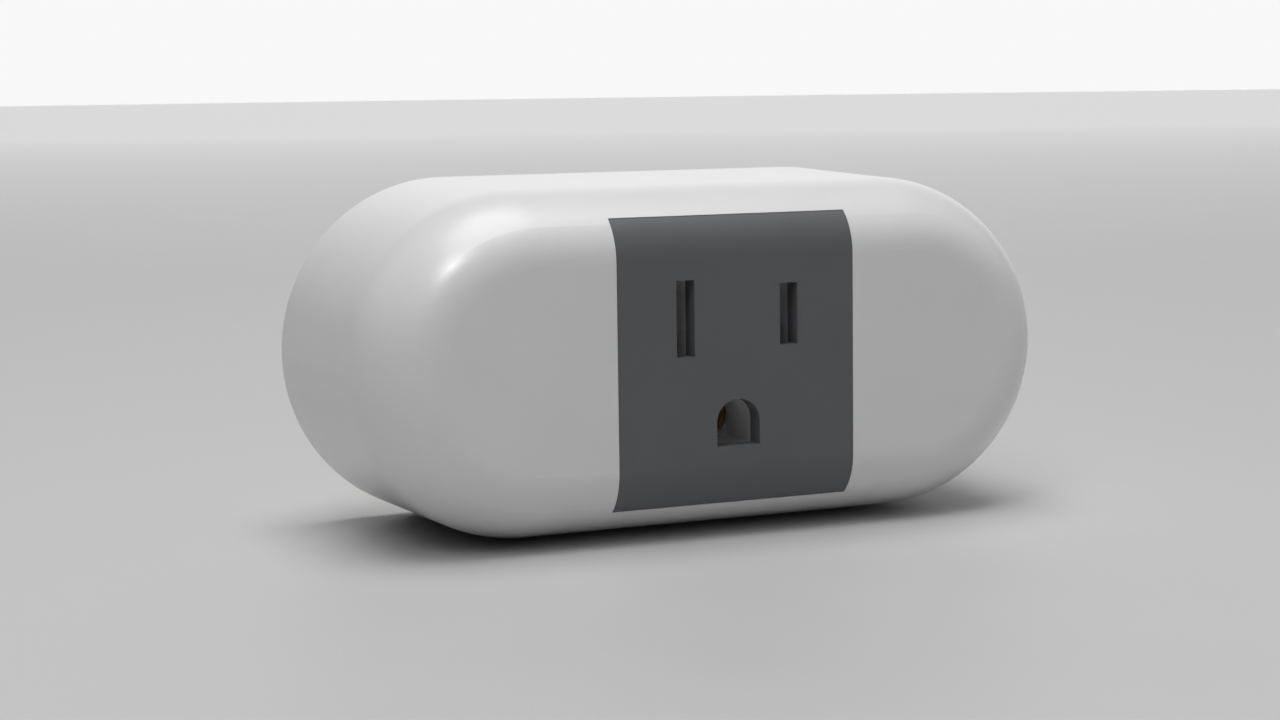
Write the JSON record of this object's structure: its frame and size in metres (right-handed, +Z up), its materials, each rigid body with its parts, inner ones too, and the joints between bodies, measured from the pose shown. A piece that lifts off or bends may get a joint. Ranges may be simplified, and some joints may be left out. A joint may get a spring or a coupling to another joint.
{
  "type": "smart plug",
  "caption": "Smart plug with a pill-shaped white housing, a flush dark socket plate, a side button, and flat blades with a round earth pin at the back.",
  "frame": {"origin": "middle of the wall face, where the plug meets the wall outlet", "axes": "+X to the right seen from the front, +Y from the front face towards the wall, +Z up"},
  "size_m": [0.0858, 0.0543, 0.04],
  "materials": {
    "shell_white": "satin white",
    "plate_grey": "satin dark grey",
    "inner_white": "moulded",
    "screw_steel": "zinc plated",
    "blade_brass": "stamped",
    "contact_brass": "stamped",
    "tinned_copper": "tinned",
    "board_green": "solder mask",
    "relay_black": "moulded",
    "winding_copper": "enamelled wire",
    "winding_tape": "tape",
    "soft_iron": "plated",
    "ferrite": "sintered",
    "film_yellow": "moulded",
    "varistor_blue": "dipped",
    "resistor_green": "dipped",
    "light_pipe": "clear"
  },
  "bodies": {
    "housing": {"blade_retainer": "inner_white", "board_screws": "screw_steel", "bridge_rectifier": "relay_black", "bulk_capacitor": "relay_black", "carrier_cap": "inner_white", "contact_carrier": "inner_white", "converter_chip": "relay_black", "current_shunt": "tinned_copper", "front_housing": "shell_white", "fusible_resistor": "resistor_green", "ground_contact": "contact_brass", "ground_pin": "blade_brass", "housing_screws": "screw_steel", "line_blade": "blade_brass", "line_busbar": "tinned_copper", "line_contact": "contact_brass", "load_busbar": "tinned_copper", "main_board": "board_green", "neutral_blade": "blade_brass", "neutral_contact": "contact_brass", "output_capacitor": "relay_black", "radio_board": "board_green", "radio_header": "relay_black", "radio_shield": "tinned_copper", "rear_cover": "shell_white", "relay_base": "relay_black", "relay_bobbin": "relay_black", "relay_case": "relay_black", "relay_coil": "winding_copper", "relay_core": "soft_iron", "relay_fixed_contact": "contact_brass", "relay_terminals": "tinned_copper", "relay_yoke": "soft_iron", "safety_capacitor": "film_yellow", "socket_faceplate": "plate_grey", "status_led": "light_pipe", "status_light_pipe": "light_pipe", "switch_body": "relay_black", "switch_frame": "tinned_copper", "transformer_bobbin": "relay_black", "transformer_core": "ferrite", "transformer_winding": "winding_tape", "varistor": "varistor_blue"},
    "power_button": {"power_button": "shell_white"},
    "switch_plunger": {"switch_plunger": "relay_black"},
    "relay_armature": {"relay_armature": "soft_iron", "relay_moving_contact": "contact_brass"}
  },
  "joints": [
    {"name": "button_press", "type": "slide", "parent": "housing", "child": "power_button", "axis": [-1, 0, 0], "range_m": [0, 0.00035], "stiffness_N_per_m": 1500, "springref_m": -0.0003},
    {"name": "plunger_press", "type": "slide", "parent": "housing", "child": "switch_plunger", "axis": [-1, 0, 0], "range_m": [0, 0.00035]},
    {"name": "armature_pull", "type": "hinge", "parent": "housing", "child": "relay_armature", "pos_m": [-0.0195, -0.0217, 0], "axis": [0, 0, -1], "range_deg": [0, 2.8], "stiffness_Nm_per_rad": 0.01, "springref_deg": -5.73}
  ],
  "couplings": [
    {"joint": "plunger_press", "follows": "button_press", "ratio": 1}
  ]
}
